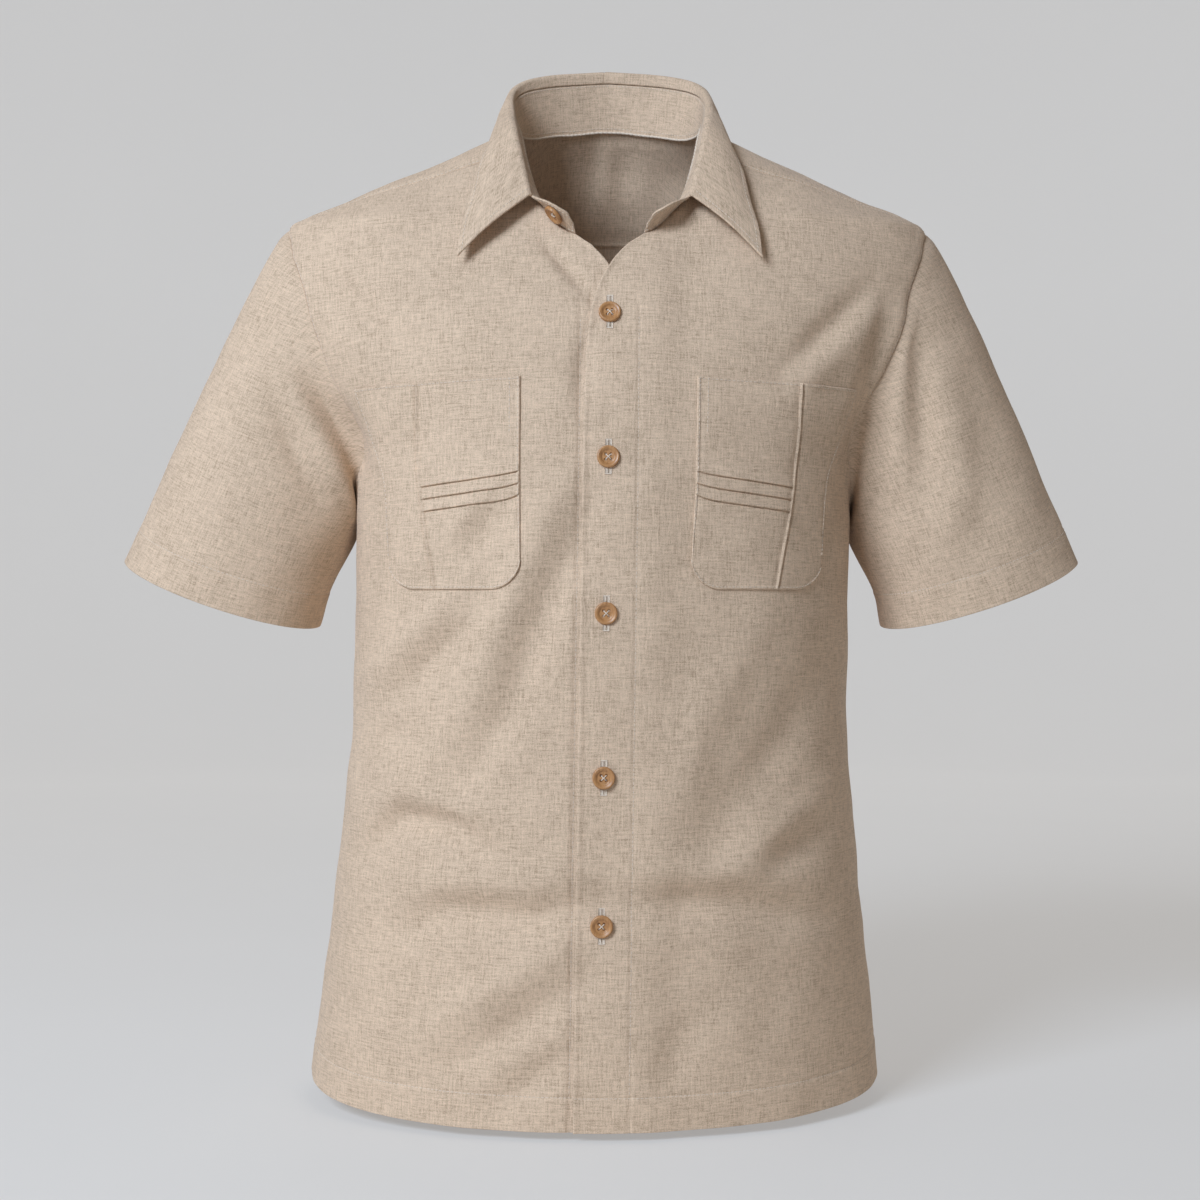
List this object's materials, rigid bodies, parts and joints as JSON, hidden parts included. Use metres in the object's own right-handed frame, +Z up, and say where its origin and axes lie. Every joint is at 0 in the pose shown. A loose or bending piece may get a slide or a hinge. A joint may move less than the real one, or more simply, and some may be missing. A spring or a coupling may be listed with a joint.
{
  "type": "safari shirt jacket",
  "caption": "Short-sleeved linen safari shirt jacket in worn form, hollow, with collar, lapped buttoned front and tucked chest pockets.",
  "frame": {"origin": "centre of the neck opening, level with the tops of the shoulders, where a wearer's shoulders carry the shirt", "axes": "+Z up, -Y towards the front, +X towards the wearer's left"},
  "size_m": [0.7032, 0.2871, 0.763],
  "materials": {
    "linen": "natural linen, plain weave with slubs",
    "button": "polished wood, honey brown"
  },
  "bodies": {
    "root": {"front_left": "linen", "front_right": "linen", "back": "linen", "yoke": "linen", "sleeve_left": "linen", "sleeve_right": "linen", "collar_stand": "linen", "collar_fall": "linen", "pocket_left_center": "linen", "pocket_left_side": "linen", "pocket_right_center": "linen", "pocket_right_side": "linen", "button_1": "button", "button_2": "button", "button_3": "button", "button_4": "button", "button_5": "button", "button_collar": "button"}
  },
  "joints": []
}
